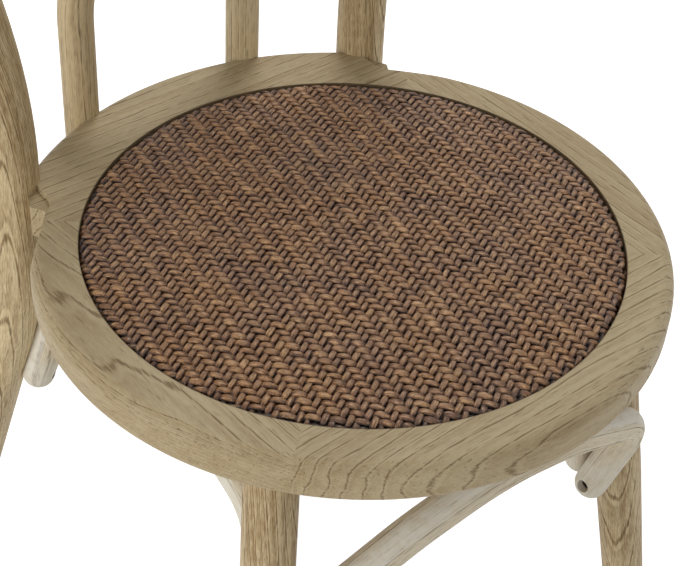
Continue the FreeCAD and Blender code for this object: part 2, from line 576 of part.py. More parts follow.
def build():
    """All pieces by name, about the middle of the seat's top."""
    nodes = {}

    # Lines of the braces and the cross, and every screw with what it goes into
    foot = front_leg_axis(1.0, -FOOT_DROP)
    foot = beside(foot, LEG_R + BRACE_R - BRACE_BITE, 180.0, 1.0)
    front_line = cross_brace_line(foot, FRONT_BRACE_LEAN, (
        (foot.x + FRONT_SHOULDER_OUT, FRONT_SHOULDER_RISE), (FRONT_HAUNCH_X, FRONT_HAUNCH_RISE),
        (0.0, FRONT_CROWN_RISE)))
    foot = rear_leg_axis(1.0, -FOOT_DROP)
    foot = beside(foot, POST_R + BRACE_R - BRACE_BITE, 175.0, 1.0)
    rear_line = cross_brace_line(foot, REAR_BRACE_LEAN, (
        (foot.x + REAR_SHOULDER_OUT, REAR_SHOULDER_RISE), (REAR_HAUNCH_X, REAR_HAUNCH_RISE),
        (0.0, REAR_CROWN_RISE)))
    side_lines = {name: side_brace_line(side) for name, side in SIDES}
    foot_screws = {}
    for name, side in SIDES:
        end = slice(0, 2) if side > 0 else slice(-1, -3, -1)
        foot_screws["front", name] = foot_screw(*front_line[end], front_leg_axis, side)
        foot_screws["rear", name] = foot_screw(*rear_line[end], rear_leg_axis, side)
        foot_screws[name, "front"] = foot_screw(*side_lines[name][:2], front_leg_axis, side)
        foot_screws[name, "rear"] = foot_screw(*side_lines[name][:-3:-1], rear_leg_axis, side)
    rod_lines = {"left": cross_line(1.0, CROSS_MEET_Y - CROSS_MEET_OFFSET),
                 "right": cross_line(-1.0, CROSS_MEET_Y + CROSS_MEET_OFFSET)}
    rail_screws = {name: rail_screw(side) for name, side in SIDES}
    top_screws = {name: top_screw(rod_lines[name]) for name, side in SIDES}
    meet_y = CROSS_MEET_Y + CROSS_MEET_OFFSET + CROSS_R - COUNTERBORE_DEPTH
    meet_screw = (V(0, meet_y, CROSS_MEET_RISE), V(0, -1, 0),
                  2.0 * (CROSS_MEET_OFFSET + CROSS_R) - COUNTERBORE_DEPTH - MEET_SCREW_REST)
    board_screws = {angle: board_screw(angle) for angle in BOARD_SCREW_ANGLES}
    bolts = {name: post_bolt(side) for name, side in SIDES}
    nuts = {name: barrel_nut(side) for name, side in SIDES}
    mitres = (FRONT_MITRE, REAR_MITRE, 360.0 - REAR_MITRE, 360.0 - FRONT_MITRE)
    dowels = {angle: ring_dowels(angle) for angle in mitres}
    tenons = {name: front_leg_tenon(side) for name, side in SIDES}
    notches = {name: notch(side) for name, side in SIDES}
    rods = {name: rod(line, (CROSS_BEND_R, CROSS_MEET_BEND_R), CROSS_R)
            for name, line in rod_lines.items()}

    # Seat ring
    spans = {"front": (-FRONT_MITRE, FRONT_MITRE), "left": (FRONT_MITRE, REAR_MITRE),
             "rear": (REAR_MITRE, 360.0 - REAR_MITRE), "right": (360.0 - REAR_MITRE, 360.0 - FRONT_MITRE)}
    blanks = {}
    for name, (start, end) in spans.items():
        blank = ring_rail(REAR_RAIL_RADIUS if name == "rear" else SEAT_RADIUS, start, end)
        blanks[name] = without(blank, [notches[n] for n in notches if name in (n, "rear")])
    for name, (start, end) in spans.items():
        cutters = [pin for angle in mitres if min(abs(angle - start), abs(angle - end),
                                                  abs(angle - 360.0 - start)) < 0.1
                   for pin in dowels[angle]]
        cutters += [screw_hole(*board_screws[angle]) for angle in BOARD_SCREW_ANGLES
                    if start < angle < end]
        if name in tenons:
            cutters.append(tenons[name])
        if name == "rear":
            cutters += [bolts[n][1] for n in bolts] + [nuts[n][1] for n in nuts]
            cutters += [screw_hole(*rail_screws[n]) for n in rail_screws]
        nodes["seat_rail_" + name] = without(blanks[name], cutters)
    nodes["seat_rail_dowels"] = grouped(pin for angle in mitres for pin in dowels[angle])

    # Seat panel
    board_r = cover_line(COVER_THICKNESS)[-1][0] - SOFT_CLEARANCE
    board = Part.makeCylinder(board_r, BOARD_THICKNESS, V(0, 0, -REBATE_DEPTH))
    nodes["seat_board"] = without(board, [screw_hole(*place) for place in board_screws.values()])
    nodes["seat_board_screws"] = grouped(screw(*place) for place in board_screws.values())
    nodes["seat_foam_pad"] = pad_solid()
    nodes["woven_rattan_cover"] = cover_solid()

    # Legs, posts and bow
    for name, side in SIDES:
        leg = front_leg_body(side).fuse(tenons[name])
        nodes["front_leg_" + name] = without(leg, [
            screw_hole(*foot_screws["front", name]), screw_hole(*foot_screws[name, "front"]),
            glide_pin(front_leg_axis(side, FOOT_CUT_Z))])
    nodes["rear_post_left"] = without(post_body(1.0), [
        blanks["rear"], bow_dowel(1.0), bolts["left"][1], screw_hole(*foot_screws["rear", "left"]),
        screw_hole(*foot_screws["left", "rear"]), glide_pin(rear_leg_axis(1.0, FOOT_CUT_Z))])
    nodes["rear_post_right"] = nodes["rear_post_left"].mirror(V(0, 0, 0), V(1, 0, 0))
    nodes["back_bow"] = without(bow_body(), [bow_dowel(1.0), bow_dowel(-1.0)]
                                + [screw_hole(*top_screws[name]) for name in top_screws])
    nodes["back_bow_dowels"] = grouped([bow_dowel(1.0), bow_dowel(-1.0)])

    # Cross of the back
    bow_cope = bow_body(COPE_CLEARANCE)
    front_rod_cope = rod(rod_lines["left"], (CROSS_BEND_R, CROSS_MEET_BEND_R), CROSS_R + COPE_CLEARANCE)
    for name, side in SIDES:
        cutters = [blanks["rear"], bow_cope, screw_hole(*rail_screws[name]), screw_hole(*meet_screw),
                   turned_to(Part.makeCylinder(SCREW_R, top_screws[name][2], V(0, 0, -top_screws[name][2])),
                             *top_screws[name][:2])]
        if name == "right":
            cutters.append(front_rod_cope)
        cut = without(rods[name], cutters)
        nodes["cross_rod_" + name] = max(cut.Solids, key=lambda solid: solid.Volume)
    nodes["cross_center_screw"] = screw(*meet_screw)
    nodes["cross_rod_seat_screws"] = grouped(screw(*rail_screws[name]) for name in rail_screws)
    nodes["cross_rod_top_screws"] = grouped(screw(*top_screws[name]) for name in top_screws)

    # Arch braces
    fat = {("front", name): front_leg_body(side, COPE_CLEARANCE) for name, side in SIDES}
    fat.update({("rear", name): post_body(side, COPE_CLEARANCE) for name, side in SIDES})
    lines = {"front": (front_line, FRONT_SHOULDER_R), "rear": (rear_line, LONG_SHOULDER_R),
             "left": (side_lines["left"], LONG_SHOULDER_R)}
    for name, (line, shoulder_r) in lines.items():
        cutters = [fat[key] for key in fat if name in key]
        cutters += [screw_hole(*foot_screws[key]) for key in foot_screws if key[0] == name]
        cut = without(brace(line, shoulder_r), cutters)
        nodes["arch_brace_" + name] = max(cut.Solids, key=lambda solid: solid.Volume)
    nodes["arch_brace_right"] = nodes["arch_brace_left"].mirror(V(0, 0, 0), V(1, 0, 0))
    nodes["brace_foot_screws"] = grouped(screw(*foot_screws[key]) for key in foot_screws)

    # Bolts, nuts and glides
    nodes["rear_post_bolts"] = grouped(bolts[name][0] for name in bolts)
    nodes["rear_post_barrel_nuts"] = grouped(nuts[name][0].cut(bolts[name][1]) for name in nuts)
    feet = [axis(side, FOOT_CUT_Z) for axis in (front_leg_axis, rear_leg_axis) for name, side in SIDES]
    nodes["foot_glides"] = grouped(glide(point) for point in feet)
    return nodes


def export(nodes):
    """Stands the chair on the floor, centres it front to back, and writes every piece."""
    os.makedirs("parts", exist_ok=True)
    front = nodes["seat_rail_front"].optimalBoundingBox(False, False)
    back = nodes["rear_post_left"].optimalBoundingBox(False, False)
    shift = V(0, -(front.YMin + back.YMax) / 2.0, SEAT_HEIGHT)
    print("seat centre in the chair's frame: y = %.3f" % shift.y)
    for name, shape in nodes.items():
        shape = shape.copy()
        shape.translate(shift)
        shape.exportStep("parts/" + name + ".step")
        sound = "sound" if shape.isValid() else "NOT VALID"
        print("%-24s %d solids, %9.1f mm3, %s" % (name, len(shape.Solids), shape.Volume, sound))


export(build())
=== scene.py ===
import math

import bmesh
import bpy
import numpy as np
from mathutils import Matrix, Vector


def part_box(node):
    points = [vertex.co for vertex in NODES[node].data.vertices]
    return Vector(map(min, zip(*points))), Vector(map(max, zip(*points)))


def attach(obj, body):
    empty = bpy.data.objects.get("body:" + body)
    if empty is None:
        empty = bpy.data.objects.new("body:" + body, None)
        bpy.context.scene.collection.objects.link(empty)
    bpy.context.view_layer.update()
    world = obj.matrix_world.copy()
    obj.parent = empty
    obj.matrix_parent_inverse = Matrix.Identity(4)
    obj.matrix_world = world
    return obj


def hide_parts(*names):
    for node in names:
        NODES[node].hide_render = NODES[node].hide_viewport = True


bl_info = {
    "name": "Cross back chair",
    "version": (1, 0, 0),
    "blender": (4, 5, 0),
    "location": "View3D > Sidebar > Chair",
    "description": "Finishes the cross back chair: woven rattan seat, washed oak, hardware and stage",
    "category": "Object",
}

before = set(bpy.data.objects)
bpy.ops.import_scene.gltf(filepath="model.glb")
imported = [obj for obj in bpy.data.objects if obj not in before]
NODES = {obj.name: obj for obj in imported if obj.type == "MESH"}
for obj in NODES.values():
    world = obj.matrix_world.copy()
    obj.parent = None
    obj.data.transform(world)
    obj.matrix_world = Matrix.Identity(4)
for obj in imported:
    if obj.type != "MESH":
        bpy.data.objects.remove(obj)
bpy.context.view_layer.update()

# outside radius of the seat ring, and radius of its opening
RING_RADIUS = 0.2145
OPENING = 0.1825
# middle of the seat on the level of the ring's top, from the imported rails
RING_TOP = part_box("seat_rail_left")[1].z
SEAT_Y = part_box("seat_rail_front")[0].y + RING_RADIUS
# middle of the left front leg at its foot and at its top
LEG_FOOT = (0.1978, -0.2229, 0.004)
LEG_TOP = (0.1445, -0.1602, 0.4305)


def both_sides(half):
    """Corners of a symmetrical rod: the given ones, which end in the middle, then the same ones mirrored."""
    return half + tuple((-x, y, z) for x, y, z in reversed(half[:-1]))


def there_and_back(half):
    """Bends of a symmetrical rod: the given ones, which end in the middle, then the same ones backwards."""
    return half + half[-2::-1]


# corners of the bent rods' centre lines with the radius of each bend, in the row frame, in millimetres
BACK_ROUTE = both_sides((
    (170.9, 257.1, 0.0), (155.7, 126.1, 362.0), (152.9, 126.1, 530.0), (188.4, 146.1, 715.0),
    (175.4, 169.1, 830.2), (98.0, 174.7, 858.2), (0.0, 177.1, 870.2)))
BACK_BENDS = there_and_back((330.0, 550.0, 350.0, 90.0, 230.0, 500.0))
CROSS_ROUTE = ((72.0, 170.1, 426.5), (72.0, 170.1, 578.0), (0.0, 158.1, 653.0), (-178.7, 163.3, 801.0))
CROSS_BENDS = (110.0, 250.0)
# how much further back the right rod of the cross passes the left one
CROSS_BEHIND = 18.0
FRONT_ARCH = both_sides((
    (139.3, -187.8, 243.0), (158.3, -202.8, 311.0), (70.0, -211.6, 351.0), (0.0, -215.1, 367.0)))
FRONT_ARCH_BENDS = there_and_back((34.0, 150.0, 150.0))
REAR_ARCH = both_sides((
    (131.3, 171.7, 243.0), (128.3, 154.6, 350.0), (62.0, 150.6, 375.0), (0.0, 149.8, 380.0)))
SIDE_ARCH = (
    (152.1, -164.0, 243.0), (140.3, -147.0, 355.0), (135.6, -77.0, 378.0), (132.9, -12.0, 382.0),
    (131.1, 53.0, 378.0), (131.3, 108.9, 357.0), (141.6, 139.9, 260.0))
LONG_ARCH_BENDS = there_and_back((40.0, 150.0, 150.0))


def paint(red, green, blue, alpha=1.0):
    """Linear colour of a tone given in the usual 0 to 255 steps: each step over 255, to the power 2.2."""
    return tuple((c / 255.0) ** 2.2 for c in (red, green, blue)) + (alpha,)


# sizes and colours


class WeaveSettings(bpy.types.PropertyGroup):
    row_pitch: bpy.props.FloatProperty(
        name="Row pitch", description="Distance between neighbouring rows", default=5.64e-3, unit="LENGTH")
    column_pitch: bpy.props.FloatProperty(
        name="Column pitch", description="Distance between neighbouring columns", default=4.68e-3,
        unit="LENGTH")
    row_half_width: bpy.props.FloatProperty(
        name="Row half width", description="Half the width of a row's strand", default=2.36e-3, unit="LENGTH")
    column_half_width: bpy.props.FloatProperty(
        name="Column half width", description="Half the width of a column's strand", default=1.85e-3,
        unit="LENGTH")
    half_thickness: bpy.props.FloatProperty(
        name="Half thickness", description="Half the thickness of a strand", default=1.45e-3, unit="LENGTH")
    lift: bpy.props.FloatProperty(
        name="Lift", description="How far a strand rises and falls as it passes over and under",
        default=1.35e-3, unit="LENGTH")
    slant: bpy.props.FloatProperty(
        name="Slant", description="How far a float swings to either side of its row", default=0.5e-3,
        unit="LENGTH")
    row_tone: bpy.props.FloatVectorProperty(
        name="Row tone", description="Colour of the rows", subtype="COLOR", size=4,
        default=paint(147, 101, 59))
    column_tone: bpy.props.FloatVectorProperty(
        name="Column tone", description="Colour of the columns", subtype="COLOR", size=4,
        default=paint(131, 91, 61))


class OakSettings(bpy.types.PropertyGroup):
    pale: bpy.props.FloatVectorProperty(
        name="Pale wood", description="Late growth between two rings", subtype="COLOR", size=4,
        default=paint(178, 161, 127))
    brown: bpy.props.FloatVectorProperty(
        name="Brown wood", description="Early growth beside a ring", subtype="COLOR", size=4,
        default=paint(143, 120, 84))
    pore: bpy.props.FloatVectorProperty(
        name="Pores", description="Open pores", subtype="COLOR", size=4, default=paint(92, 74, 50))
    wash_and_highlight: bpy.props.FloatVectorProperty(
        name="Wash and highlight", description="Whitewash at the low ends of the arches, and the colour of the painted highlight on one side of each", subtype="COLOR", size=4,
        default=paint(222, 217, 204))
    ring_width: bpy.props.FloatProperty(
        name="Ring width", description="Distance between two growth rings", default=6.5e-3, unit="LENGTH")


class StageSettings(bpy.types.PropertyGroup):
    floor_tone: bpy.props.FloatVectorProperty(
        name="Floor", description="Colour of the floor", subtype="COLOR", size=4,
        default=(0.82, 0.82, 0.82, 1.0))
    lens: bpy.props.FloatProperty(
        name="Lens", description="Focal length in millimetres", default=84.7, min=10.0)
    distance: bpy.props.FloatProperty(
        name="Distance", description="From the camera to the middle of the seat", default=1.0707,
        unit="LENGTH")
    elevation: bpy.props.FloatProperty(
        name="Elevation", description="Height of the view above the level", default=math.radians(38.36),
        subtype="ANGLE")
    azimuth: bpy.props.FloatProperty(
        name="Turn", description="How far the chair is turned to the view", default=math.radians(41.5),
        subtype="ANGLE")
    swing: bpy.props.FloatProperty(
        name="Swing", description="Aim of the view, to the left of the seat's middle",
        default=math.radians(0.38), subtype="ANGLE")
    nod: bpy.props.FloatProperty(
        name="Nod", description="Aim of the view, above the seat's middle", default=math.radians(-1.80),
        subtype="ANGLE")
    roll: bpy.props.FloatProperty(
        name="Roll", description="Turn of the picture in its own plane", default=math.radians(-3.98),
        subtype="ANGLE")


# meshes


def unit(vectors):
    """Each vector over its own length."""
    return vectors / np.maximum(np.linalg.norm(vectors, axis=-1, keepdims=True), 1e-12)


def mesh_from(name, points, quads):
    """Mesh of four sided faces, written as whole arrays; a repeated corner makes a face three sided."""
    mesh = bpy.data.meshes.new(name)
    mesh.from_pydata(points.tolist(), [], [tuple(dict.fromkeys(q)) for q in quads.tolist()])
    mesh.polygons.foreach_set("use_smooth", np.ones(len(mesh.polygons), bool))
    mesh.update()
    return mesh


def add_piece(name, mesh, finish):
    """Puts a mesh in the scene as a piece of the chair, with its material, riding on the one rigid body."""
    piece = bpy.data.objects.new(name, mesh)
    bpy.context.scene.collection.objects.link(piece)
    mesh.materials.append(finish)
    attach(piece, "root")
    return piece


def write_vectors(mesh, name, values):
    """Stores one vector for each vertex under the given attribute name."""
    layer = mesh.attributes.new(name, "FLOAT_VECTOR", "POINT")
    layer.data.foreach_set("vector", np.ascontiguousarray(values, np.float32).ravel())


ROD_STEP = 0.002
ARC_POINTS = 33


def bent_line(corners, radii):
    """Centre line of a bent rod. Each corner is rounded by an arc that touches both of its runs: the arc's
    point at t is the rational blend ((1-t)^2 start + 2t(1-t) w corner + t^2 end) over its weights, with w the
    cosine of half the turn, which is a true circle. The whole is then read at even steps of its length."""
    c = np.array(corners, float) / 1000.0
    back = unit(c[:-2] - c[1:-1])
    on = unit(c[2:] - c[1:-1])
    half_turn = (math.pi - np.arccos(np.clip((back * on).sum(1), -1, 1))) / 2.0
    reach = (np.array(radii, float) / 1000.0 * np.tan(half_turn))[:, None]
    t = np.linspace(0.0, 1.0, ARC_POINTS)[None, :, None]
    w = np.cos(half_turn)[:, None, None]
    start, corner, end = (c[1:-1] + back * reach)[:, None], c[1:-1][:, None], (c[1:-1] + on * reach)[:, None]
    arcs = (1 - t) ** 2 * start + 2 * t * (1 - t) * w * corner + t ** 2 * end
    arcs /= (1 - t) ** 2 + 2 * t * (1 - t) * w + t ** 2
    line = np.vstack([c[:1], arcs.reshape(-1, 3), c[-1:]])
    run = np.concatenate([[0.0], np.cumsum(np.linalg.norm(np.diff(line, axis=0), axis=1))])
    even = np.linspace(0.0, run[-1], int(run[-1] / ROD_STEP) + 2)
    return np.stack([np.interp(even, run, line[:, k]) for k in range(3)], axis=1)


def along_rod(points, line, side):
    """Straightened place of each point of a bent rod: across the rod in the two directions of a frame that
    keeps to the side vector, and the length along the rod. The nearest point of the line is found first, and
    the rest of the way is measured on its tangent."""
    tangent = unit(np.gradient(line, axis=0))
    first = unit(side - tangent * (tangent @ side)[:, None])
    second = np.cross(tangent, first)
    run = np.concatenate([[0.0], np.cumsum(np.linalg.norm(np.diff(line, axis=0), axis=1))])
    far = ((points ** 2).sum(1)[:, None] - 2.0 * points @ line.T + (line ** 2).sum(1)[None, :])
    near = far.argmin(1)
    off = points - line[near]
    ahead = (off * tangent[near]).sum(1)
    return np.stack([(off * first[near]).sum(1), (off * second[near]).sum(1), run[near] + ahead], axis=1)


def rod_copy(name, node, corners, radii, side, finish, mirror=False):
    """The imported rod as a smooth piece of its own, which carries the attribute "grain": its straightened
    coordinates, so that the fibre follows every bend."""
    mesh = NODES[node].data.copy()
    mesh.name = name
    shell = bmesh.new()
    shell.from_mesh(mesh)
    bmesh.ops.remove_doubles(shell, verts=shell.verts, dist=2e-6)
    shell.to_mesh(mesh)
    shell.free()
    mesh.materials.clear()
    if mesh.has_custom_normals:
        mesh.attributes.remove(mesh.attributes["custom_normal"])
    mesh.shade_smooth()
    mesh.set_sharp_from_angle(angle=math.radians(34.0))
    points = np.zeros(len(mesh.vertices) * 3, np.float32)
    mesh.vertices.foreach_get("co", points)
    points = points.reshape(-1, 3).astype(float)
    route = np.array(corners, float) * ((-1.0, 1.0, 1.0) if mirror else (1.0, 1.0, 1.0))
    write_vectors(mesh, "grain", along_rod(points, bent_line(route, radii), np.array(side, float)))
    piece = add_piece(name, mesh, finish)
    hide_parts(node)
    return piece


# the woven seat


# the seat's surface: its height in the middle and where its edge starts to turn down, that place's radius,
# and the radius of the turn
CROWN, EDGE_RISE, EDGE_RADIUS, EDGE_BEND = 7.0e-3, 0.6e-3, 177.5e-3, 5.5e-3
# the strands' middle and the pad's top, measured down from that surface
STRAND_INSET, PAD_INSET = 2.6e-3, 3.4e-3
# from the seat's middle to a strand's end along the surface, and the outermost stretch that starts no strand
STRAND_REACH, BARE_EDGE = 0.1842, 0.0035
# directions across the rows and across the columns, in the seat's plane turned by an eighth of a turn
ACROSS_ROWS = np.array((-10.0, 177.0))
ACROSS_COLUMNS = np.array((208.0, -50.0))
EIGHTH = math.pi / 4


def over_edge(unrolled, inset):
    """Radius, height and outward normal (out, up) of the seat's surface, a little way inside it, at a
    distance measured along it from the middle: a shallow bowl upside down, height = edge + rise
    (1 - (r/R)^2), then a quarter round, then straight down."""
    bend = EDGE_BEND - inset
    turn = np.clip((unrolled - EDGE_RADIUS) / bend, 0.0, math.pi / 2)
    down = np.maximum(unrolled - EDGE_RADIUS - bend * math.pi / 2, 0.0)
    flat = np.minimum(unrolled, EDGE_RADIUS)
    crown = EDGE_RISE + (CROWN - EDGE_RISE) * (1.0 - (flat / EDGE_RADIUS) ** 2) - EDGE_BEND
    slope = 2.0 * (CROWN - EDGE_RISE) * flat / EDGE_RADIUS ** 2
    lean = np.where(turn > 0.0, turn, np.arctan(slope) * (1.0 - np.clip(turn, 0, 1)))
    radius = flat + bend * np.sin(turn)
    height = crown + bend * np.cos(turn) - down
    return radius, height, np.sin(lean), np.cos(lean)


def ripple(u, v, seed, reach):
    """Soft wander over the seat: the mean of five plane waves whose directions and phases the seed sets."""
    dice = np.random.default_rng(seed)
    angle, phase, size = dice.uniform(0, math.tau, 5), dice.uniform(0, math.tau, 5), dice.uniform(0.6, 1.7, 5)
    return sum(
        np.sin((u * math.cos(a) + v * math.sin(a)) * math.tau * k / reach + p)
        for a, p, k in zip(angle, phase, size)) / 5.0


def chance(first, second, seed):
    """A number from 0 to 1 for each pair of whole numbers: the fractional part of a large sine."""
    return np.modf(np.abs(np.sin(first * 127.1 + second * 311.7 + seed * 74.7) * 43758.5453))[0]


def twill(phase, rows):
    """Height of a strand, from -1 at the bottom to 1 at the top, and how far it swings across its line, from
    -1 to 1, for its phase in a twill of three. With d the phase's distance from the crossing, a column's
    height is 1.6 cos(pi d / 1.35), held between -1 and 1, and a row's is the mean of -cos(pi d), held beyond
    one, and -cos(pi d / 1.5). The swing is the sine of the phase."""
    d = np.abs((phase - 2.0 + 1.5) % 3.0 - 1.5)
    crossing = np.cos(math.pi * np.clip(d, 0.0, 1.0))
    if rows:
        up = -0.5 * (crossing + np.cos(math.pi * d / 1.5))
        return up, np.sin(math.tau / 3.0 * ((phase - 2.0) % 3.0 - 1.5))
    up = np.clip(1.6 * np.cos(math.pi * np.clip(d / 1.35, 0.0, 1.0)), -1.0, 1.0)
    return up, -0.45 * np.sin(math.tau / 3.0 * ((phase - 2.0 + 1.5) % 3.0 - 1.5))


def laid_on_seat(u, v):
    """Place, outward normal and distance from the middle of points of the flat weave, laid on the seat."""
    rho = np.maximum(np.hypot(u, v), 1e-6)
    radius, height, out, upward = over_edge(rho, STRAND_INSET)
    x = (u * math.cos(EIGHTH) + v * math.sin(EIGHTH)) / rho
    y = (-u * math.sin(EIGHTH) + v * math.cos(EIGHTH)) / rho
    normal = np.stack([x * out, y * out, upward], axis=1)
    return np.stack([x * radius, y * radius, height], axis=1), normal, rho


def strands(weave, own, other, rows, half_width, step, sides):
    """All strands of one direction as closed tubes. Strand number n lies where the direction's own index is
    n. Along it, the other direction's index plus n is the phase of the twill, in which a row dips under one
    column in three and a column rises over one row in three. A ring of points round a strand is a rounded
    oblong, rolled a little on each float: across = width |cos|^0.85 for a row and |cos|^0.65 for a column,
    up = thickness |sin|^0.9, with their signs."""
    grad = np.linalg.norm(own)
    across = own / grad
    along = np.array((across[1], -across[0]))
    if along @ other < 0:
        along = -along
    rings, tones, runs, faces, count = [], [], [], [], 0
    angle = (np.arange(sides) + 0.5) / sides * math.tau
    ring_cos = np.sign(np.cos(angle)) * np.abs(np.cos(angle)) ** (0.85 if rows else 0.65)
    ring_sin = np.sign(np.sin(angle)) * np.abs(np.sin(angle)) ** 0.9
    last = int(STRAND_REACH * grad)
    for n in range(-last, last + 1):
        off = n / grad
        if abs(off) > STRAND_REACH - BARE_EDGE:
            continue
        reach = math.sqrt(STRAND_REACH ** 2 - off ** 2)
        s = np.linspace(-reach, reach, max(int(2 * reach / step), 6))
        flat = off * across + s[:, None] * along
        u0, v0 = flat[:, 0], flat[:, 1]
        phase = flat @ other + n
        up, swing = twill(phase, rows)
        float_number = np.floor((phase - 2.0) / 3.0) if rows else np.round((phase - 2.0) / 3.0)
        odd = chance(float_number, n * 1.0, 3.0 if rows else 7.0)
        odder = chance(float_number, n * 1.0, 11.0 if rows else 19.0)
        swell = 1.0 + (0.06 * up if rows else 0.14 * np.clip(up, 0.0, 1.0))
        wide = half_width * swell * (0.90 + 0.18 * odd)
        thick = weave.half_thickness * (1.0 + 0.10 * up) * (0.92 + 0.18 * odder)
        stray = 0.0007 * (odder - 0.5) * np.clip(up, 0.0, 1.0) - weave.slant * swing
        centre, normal, rho = laid_on_seat(
            u0 + 0.0011 * ripple(u0, v0, 5, 0.12) + across[0] * stray,
            v0 + 0.0011 * ripple(u0, v0, 9, 0.10) + across[1] * stray)
        tangent = unit(np.gradient(centre, axis=0))
        calm = 1.0 - 0.55 * np.clip((rho - 0.174) / 0.008, 0.0, 1.0)
        rise = weave.lift * calm * (up + 0.22 * (odder - 0.5))
        centre = centre + normal * rise[:, None]
        sideways = unit(np.cross(normal, tangent))
        upright = np.cross(unit(np.gradient(centre, axis=0)), sideways)
        roll = 0.55 * (chance(float_number, n * 1.0, 31.0) - 0.5)[:, None]
        flat_way, high_way = wide[:, None] * ring_cos, thick[:, None] * ring_sin
        ring = (centre[:, None]
                + sideways[:, None] * (flat_way * np.cos(roll) - high_way * np.sin(roll))[..., None]
                + upright[:, None] * (flat_way * np.sin(roll) + high_way * np.cos(roll))[..., None])
        m = len(s)
        tip = count + m * sides
        grid = count + np.arange(m * sides).reshape(m, sides)
        nxt = np.roll(grid, -1, axis=1)
        faces.append(np.stack([grid[:-1], nxt[:-1], nxt[1:], grid[1:]], axis=-1).reshape(-1, 4))
        faces.append(np.stack([np.full(sides, tip), nxt[0], grid[0], grid[0]], axis=1))
        faces.append(np.stack([np.full(sides, tip + 1), grid[-1], nxt[-1], nxt[-1]], axis=1))
        rings.append(np.vstack([ring.reshape(-1, 3), centre[:1], centre[-1:]]))
        # level is each point's height through the weave; kept as the tone's third value, it drives the rattan
        # material's painted shade on the low sides and dips and its painted highlight on the tops
        level = (rise[:, None] + thick[:, None] * ring_sin) / (weave.lift + weave.half_thickness)
        tone = np.stack([
            np.full(m * sides, chance(n * 1.0, 5.0, 23.0)), np.repeat(odd * 0.6 + odder * 0.4, sides),
            0.5 + 0.5 * level.ravel()], axis=1)
        tones.append(np.vstack([tone, tone[:1], tone[-1:]]))
        round_way = np.tile(ring_cos * 0.0026 + np.where(ring_sin > 0, 0.0, 0.01), m)
        run = np.stack([np.repeat(s + n * 0.37, sides), round_way, np.full(m * sides, n * 0.011)], axis=1)
        runs.append(np.vstack([run, run[:1], run[-1:]]))
        count = tip + 2
    points = np.vstack(rings) + (0.0, SEAT_Y, RING_TOP)
    return points, np.vstack(faces), np.vstack(tones), np.vstack(runs)


def pad_shell():
    """Closed crowned pad under the weave: a profile of radius and height turned about the seat's middle. Its
    top follows the seat's surface, its side pulls in below the edge, its floor is level."""
    unrolled = np.concatenate([np.linspace(0.0, 0.172, 22)[1:], np.linspace(0.174, 0.181, 8)])
    radius, height, _, _ = over_edge(unrolled, PAD_INSET)
    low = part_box("seat_foam_pad")[0].z - RING_TOP
    r = np.concatenate([radius, (0.1775, 0.1762, 0.1748, 0.172)])
    z = np.concatenate([height, (-0.0075, low * 0.92, low * 0.99, low)])
    m, n = len(r), 72
    turn = np.arange(n) / n * math.tau
    ring = np.stack([r[:, None] * np.cos(turn), r[:, None] * np.sin(turn), z[:, None] + 0 * turn], axis=-1)
    middle_height = over_edge(np.array(0.0), PAD_INSET)[1]
    points = np.vstack([ring.reshape(-1, 3), (0.0, 0.0, middle_height), (0.0, 0.0, low)])
    grid = np.arange(m * n).reshape(m, n)
    nxt = np.roll(grid, -1, axis=1)
    walls = np.stack([grid[:-1], grid[1:], nxt[1:], nxt[:-1]], axis=-1).reshape(-1, 4)
    lid = np.stack([np.full(n, m * n), grid[0], nxt[0], nxt[0]], axis=1)
    base = np.stack([np.full(n, m * n + 1), nxt[-1], grid[-1], grid[-1]], axis=1)
    return points + (0.0, SEAT_Y, RING_TOP), np.vstack([walls, lid, base])


# shader nodes


def put(tree, kind, *values, **settings):
    """Adds a node, sets its properties and fills its inputs in order: a socket is linked, a value written."""
    node = tree.nodes.new(kind)
    for key, value in settings.items():
        setattr(node, key, value)
    for socket, value in zip(node.inputs, values):
        if isinstance(value, bpy.types.NodeSocket):
            tree.links.new(value, socket)
        elif value is not None:
            socket.default_value = value
    return node


def calc(tree, operation, *values, clamp=False):
    """Output of a Math node."""
    return put(tree, "ShaderNodeMath", *values, operation=operation, use_clamp=clamp).outputs[0]


def noise(tree, vector, scale, detail=2.0, rough=0.5, warp=0.0):
    """Value of a Noise Texture."""
    node = put(tree, "ShaderNodeTexNoise", vector)
    for key, value in (("Scale", scale), ("Detail", detail), ("Roughness", rough), ("Distortion", warp)):
        node.inputs[key].default_value = value
    return node.outputs["Fac"]


def step_up(tree, value, low, high):
    """Smooth step of a value from 0 at low to 1 at high."""
    node = put(tree, "ShaderNodeMapRange", value, low, high, 0.0, 1.0, interpolation_type="SMOOTHSTEP")
    return node.outputs[0]


def blend(tree, factor, first, second, way="MIX"):
    """Colour between two others."""
    node = put(tree, "ShaderNodeMix", data_type="RGBA", blend_type=way)
    for socket, value in ((node.inputs[0], factor), (node.inputs[6], first), (node.inputs[7], second)):
        if isinstance(value, bpy.types.NodeSocket):
            tree.links.new(value, socket)
        else:
            socket.default_value = value
    return node.outputs[2]


def stretch(tree, vector, sizes, start=(0.0, 0.0, 0.0)):
    """A vector times the given sizes, plus a start."""
    return put(tree, "ShaderNodeVectorMath", vector, sizes, start, operation="MULTIPLY_ADD").outputs[0]


def group(name, inputs, outputs):
    """Empty shader node group with its named sockets: the tree, its input node and its output node."""
    tree = bpy.data.node_groups.new(name, "ShaderNodeTree")
    for label, kind in inputs:
        tree.interface.new_socket(name=label, in_out="INPUT", socket_type=kind)
    for label, kind in outputs:
        tree.interface.new_socket(name=label, in_out="OUTPUT", socket_type=kind)
    return tree, tree.nodes.new("NodeGroupInput"), tree.nodes.new("NodeGroupOutput")


